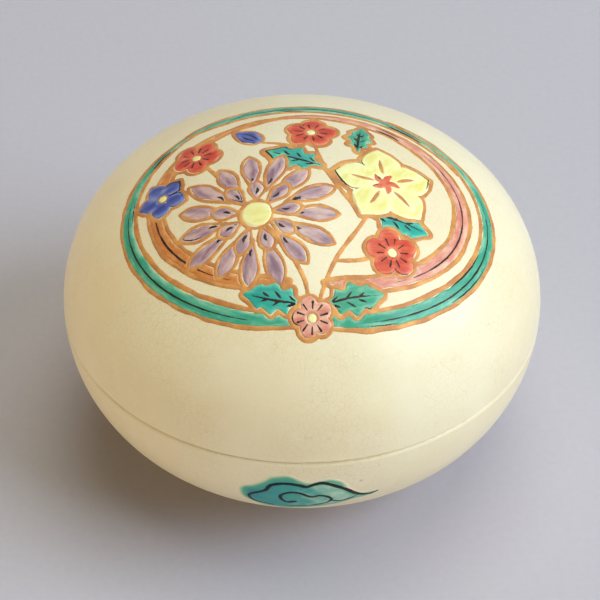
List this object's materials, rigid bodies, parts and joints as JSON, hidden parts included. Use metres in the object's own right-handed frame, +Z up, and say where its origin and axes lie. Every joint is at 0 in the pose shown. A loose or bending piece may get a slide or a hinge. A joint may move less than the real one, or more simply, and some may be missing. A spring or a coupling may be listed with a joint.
{
  "type": "incense box",
  "caption": "Round glazed stoneware incense box on a turned foot ring, with a domed lift-off lid seated over an upright lip.",
  "frame": {"origin": "centre of the foot ring, on the surface that the box stands on", "axes": "+Z up along the box's turning axis, and -Y is the front, which has the cloud on the body"},
  "size_m": [0.07, 0.07, 0.0485],
  "materials": {
    "body_glaze": "satin crackled ivory glaze, bare clay on the foot and seat",
    "lid_glaze": "satin crackled ivory glaze with raised overglaze enamels"
  },
  "bodies": {
    "body": {"body": "body_glaze"},
    "lid": {"lid": "lid_glaze"}
  },
  "joints": [
    {"name": "lid_lift", "type": "slide", "parent": "body", "child": "lid", "axis": [0, 0, 1], "range_m": [0, 0.05]}
  ]
}
